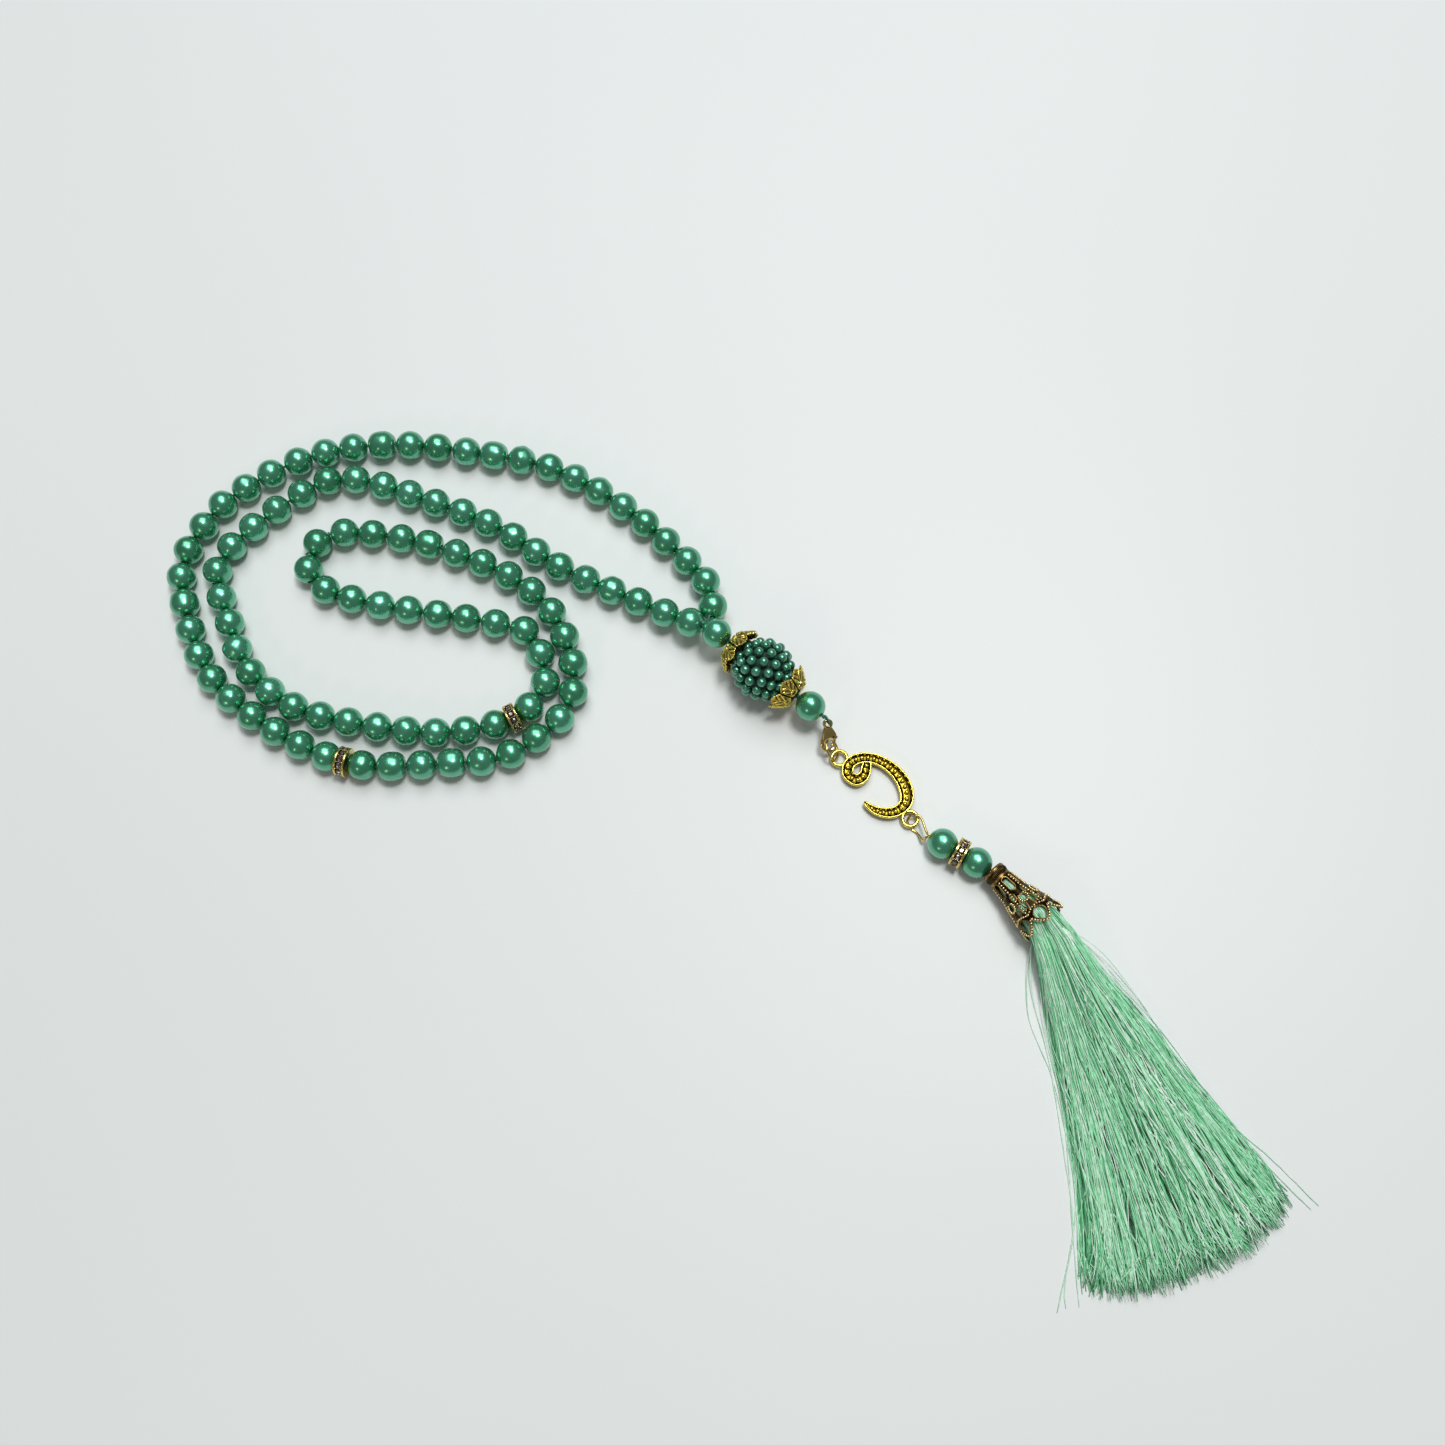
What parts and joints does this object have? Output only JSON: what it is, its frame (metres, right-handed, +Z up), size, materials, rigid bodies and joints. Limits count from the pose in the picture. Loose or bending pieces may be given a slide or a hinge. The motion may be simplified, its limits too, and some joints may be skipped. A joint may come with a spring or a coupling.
{
  "type": "misbaha prayer beads",
  "caption": "Strand of round pearl beads with stone-set spacers, a berry-bead head, a clasp, a curled gilt charm and a thread tassel, laid out flat.",
  "frame": {"origin": "on the surface the beads lie on, under the middle of their outline", "axes": "+Z up from that surface, +X towards the tassel's side along the longest extent, +Y away from the tassel's end"},
  "size_m": [0.293, 0.2271, 0.0172],
  "materials": {
    "pearl": "pearlescent coat",
    "crystal": "clear faceted",
    "seed_pearl": "pearlescent, duller",
    "berry_core": "matt",
    "tassel_thread": "silky viscose",
    "cord": "waxed thread",
    "antique_bronze": "antiqued",
    "spring_steel": "drawn wire",
    "clasp_gold": "polished",
    "wire_gold": "drawn, gold plated",
    "gilt": "bright gilt"
  },
  "bodies": {
    "base": {"base_pearls_outer": "pearl", "base_pearls_inner": "pearl", "base_cord_outer": "cord", "base_cord_inner": "cord"},
    "head_run_6": {"head_run_pearls_6": "pearl", "head_run_cord_6": "cord"},
    "head_run_5": {"head_run_pearls_5": "pearl", "head_run_cord_5": "cord"},
    "head_run_4": {"head_run_pearls_4": "pearl", "head_run_cord_4": "cord"},
    "head_run_3": {"head_run_pearls_3": "pearl", "head_run_cord_3": "cord"},
    "head_run_2": {"head_run_pearls_2": "pearl", "head_run_cord_2": "cord"},
    "head_run_1": {"head_run_pearls_1": "pearl", "head_run_cord_1": "cord"},
    "tip_run_1": {"tip_run_pearls_1": "pearl", "tip_run_cord_1": "cord"},
    "tip_run_2": {"tip_run_pearls_2": "pearl", "tip_run_cord_2": "cord"},
    "tip_run_3": {"tip_run_pearls_3": "pearl", "tip_run_cord_3": "cord"},
    "tip_run_4": {"tip_run_pearls_4": "pearl", "tip_run_cord_4": "cord"},
    "tip_run_5": {"tip_run_pearls_5": "pearl", "tip_run_cord_5": "cord"},
    "spacer_1": {"spacer_ring_1": "gilt", "spacer_stones_1": "crystal"},
    "spacer_2": {"spacer_ring_2": "gilt", "spacer_stones_2": "crystal"},
    "head_cord": {"tail_cord": "cord"},
    "junction_pearl": {"junction_pearl": "pearl"},
    "upper_leaf_cap": {"upper_leaf_cap": "gilt"},
    "berry": {"berry_core": "berry_core", "berry_seeds": "seed_pearl"},
    "lower_leaf_cap": {"lower_leaf_cap": "gilt"},
    "end_pearl": {"end_pearl": "pearl"},
    "clasp": {"clasp_body": "clasp_gold", "clasp_pin": "clasp_gold", "clasp_spring": "spring_steel"},
    "clasp_lever": {"clasp_lever": "clasp_gold"},
    "jump_ring": {"jump_ring": "wire_gold"},
    "scroll_charm": {"scroll_charm": "gilt"},
    "hanger": {"hanger_wire": "wire_gold", "tassel_head": "tassel_thread"},
    "tassel_pearl_1": {"tassel_pearl_1": "pearl"},
    "tassel_spacer": {"tassel_spacer_ring": "antique_bronze", "tassel_spacer_stones": "crystal"},
    "tassel_pearl_2": {"tassel_pearl_2": "pearl"},
    "filigree_cap": {"filigree_cap": "antique_bronze"},
    "tassel_skirt": {"tassel_skirt": "tassel_thread"}
  },
  "joints": [
    {"name": "fold_head_run_6", "type": "hinge", "parent": "base", "child": "head_run_6", "pos_m": [-0.115, 0.09778, 0.004], "axis": [0.2052, -0.9787, 0], "range_deg": [0, 25]},
    {"name": "fold_head_run_5", "type": "hinge", "parent": "head_run_6", "child": "head_run_5", "pos_m": [-0.09204, 0.10363, 0.004], "axis": [0.1184, -0.993, 0], "range_deg": [0, 25]},
    {"name": "fold_head_run_4", "type": "hinge", "parent": "head_run_5", "child": "head_run_4", "pos_m": [-0.06839, 0.09899, 0.004], "axis": [0.0063, -1, 0], "range_deg": [0, 25]},
    {"name": "fold_head_run_3", "type": "hinge", "parent": "head_run_4", "child": "head_run_3", "pos_m": [-0.04904, 0.09321, 0.004], "axis": [-0.4114, -0.9114, -0.0001], "range_deg": [0, 25]},
    {"name": "fold_head_run_2", "type": "hinge", "parent": "head_run_3", "child": "head_run_2", "pos_m": [-0.02795, 0.0812, 0.004], "axis": [-0.4154, -0.9096, 0.0003], "range_deg": [0, 25]},
    {"name": "fold_head_run_1", "type": "hinge", "parent": "head_run_2", "child": "head_run_1", "pos_m": [-0.0077, 0.06807, 0.00436], "axis": [-0.3673, -0.9292, 0.0415], "range_deg": [0, 25]},
    {"name": "fold_tip_run_1", "type": "hinge", "parent": "base", "child": "tip_run_1", "pos_m": [-0.03603, 0.04155, 0.004], "axis": [0.9468, -0.3219, 0], "range_deg": [0, 25]},
    {"name": "fold_tip_run_2", "type": "hinge", "parent": "tip_run_1", "child": "tip_run_2", "pos_m": [-0.04545, 0.05834, 0.004], "axis": [0.7538, 0.6571, 0], "range_deg": [0, 25]},
    {"name": "fold_tip_run_3", "type": "hinge", "parent": "tip_run_2", "child": "tip_run_3", "pos_m": [-0.05606, 0.06403, 0.004], "axis": [0.217, 0.9762, 0], "range_deg": [0, 25]},
    {"name": "fold_tip_run_4", "type": "hinge", "parent": "tip_run_3", "child": "tip_run_4", "pos_m": [-0.07165, 0.06852, 0.004], "axis": [0.2297, 0.9733, 0], "range_deg": [0, 25]},
    {"name": "fold_tip_run_5", "type": "hinge", "parent": "tip_run_4", "child": "tip_run_5", "pos_m": [-0.08758, 0.07202, 0.004], "axis": [0.2301, 0.9732, 0], "range_deg": [0, 25]},
    {"name": "spacer_1_spin", "type": "hinge", "parent": "base", "child": "spacer_1", "pos_m": [-0.09274, 0.01707, 0.004], "axis": [0.9698, -0.2438, 0], "continuous": true},
    {"name": "spacer_2_spin", "type": "hinge", "parent": "base", "child": "spacer_2", "pos_m": [-0.04761, 0.02898, 0.004], "axis": [-0.8805, -0.4741, 0], "continuous": true},
    {"name": "head_swing", "type": "hinge", "parent": "head_run_1", "child": "head_cord", "pos_m": [0.00391, 0.05321, 0.00948], "axis": [0, 0, 1], "range_deg": [-12, 12]},
    {"name": "junction_pearl_spin", "type": "hinge", "parent": "head_cord", "child": "junction_pearl", "pos_m": [0.0071, 0.05063, 0.0093], "axis": [0.7764, -0.6287, -0.0436], "continuous": true},
    {"name": "upper_leaf_cap_spin", "type": "hinge", "parent": "head_cord", "child": "upper_leaf_cap", "pos_m": [0.01249, 0.04626, 0.00899], "axis": [0.7764, -0.6287, -0.0436], "continuous": true},
    {"name": "berry_spin", "type": "hinge", "parent": "head_cord", "child": "berry", "pos_m": [0.01948, 0.0406, 0.0086], "axis": [0.7764, -0.6287, -0.0436], "continuous": true},
    {"name": "lower_leaf_cap_spin", "type": "hinge", "parent": "head_cord", "child": "lower_leaf_cap", "pos_m": [0.02647, 0.03494, 0.00821], "axis": [0.7764, -0.6287, -0.0436], "continuous": true},
    {"name": "end_pearl_spin", "type": "hinge", "parent": "head_cord", "child": "end_pearl", "pos_m": [0.03186, 0.03057, 0.0079], "axis": [0.7764, -0.6287, -0.0436], "continuous": true},
    {"name": "clasp_swing", "type": "hinge", "parent": "head_cord", "child": "clasp", "pos_m": [0.03628, 0.027, 0.0072], "axis": [0, 0, 1], "range_deg": [-2, 6]},
    {"name": "clasp_lever_hinge", "type": "hinge", "parent": "clasp", "child": "clasp_lever", "pos_m": [0.03759, 0.02321, 0.00462], "axis": [-0.3493, 0.4468, -0.8236], "range_deg": [0, 20], "stiffness_Nm_per_rad": 0.00002, "springref_deg": -20.05},
    {"name": "jump_ring_spin", "type": "hinge", "parent": "clasp", "child": "jump_ring", "pos_m": [0.03758, 0.0201, 0.00275], "axis": [0.8229, 0.101, 0.5592], "continuous": true},
    {"name": "charm_swing", "type": "hinge", "parent": "clasp", "child": "scroll_charm", "pos_m": [0.03948, 0.018, 0.00145], "axis": [0, 0, 1], "range_deg": [-15, 15]},
    {"name": "hanger_swing", "type": "hinge", "parent": "scroll_charm", "child": "hanger", "pos_m": [0.05768, 0.0016, 0.00145], "axis": [0, 0, 1], "range_deg": [-15, 15]},
    {"name": "tassel_pearl_1_spin", "type": "hinge", "parent": "hanger", "child": "tassel_pearl_1", "pos_m": [0.06568, -0.0055, 0.004], "axis": [0.866, -0.5, 0], "continuous": true},
    {"name": "tassel_spacer_spin", "type": "hinge", "parent": "hanger", "child": "tassel_spacer", "pos_m": [0.06997, -0.00798, 0.004], "axis": [0.866, -0.5, 0], "continuous": true},
    {"name": "tassel_pearl_2_spin", "type": "hinge", "parent": "hanger", "child": "tassel_pearl_2", "pos_m": [0.07426, -0.01045, 0.004], "axis": [0.866, -0.5, 0], "continuous": true},
    {"name": "filigree_cap_spin", "type": "hinge", "parent": "hanger", "child": "filigree_cap", "pos_m": [0.07797, -0.01269, 0.00467], "axis": [0.673, -0.7345, 0.0872], "continuous": true},
    {"name": "skirt_swing", "type": "hinge", "parent": "hanger", "child": "tassel_skirt", "pos_m": [0.09076, -0.02664, 0.00633], "axis": [0, 0, 1], "range_deg": [-4, 4]}
  ]
}
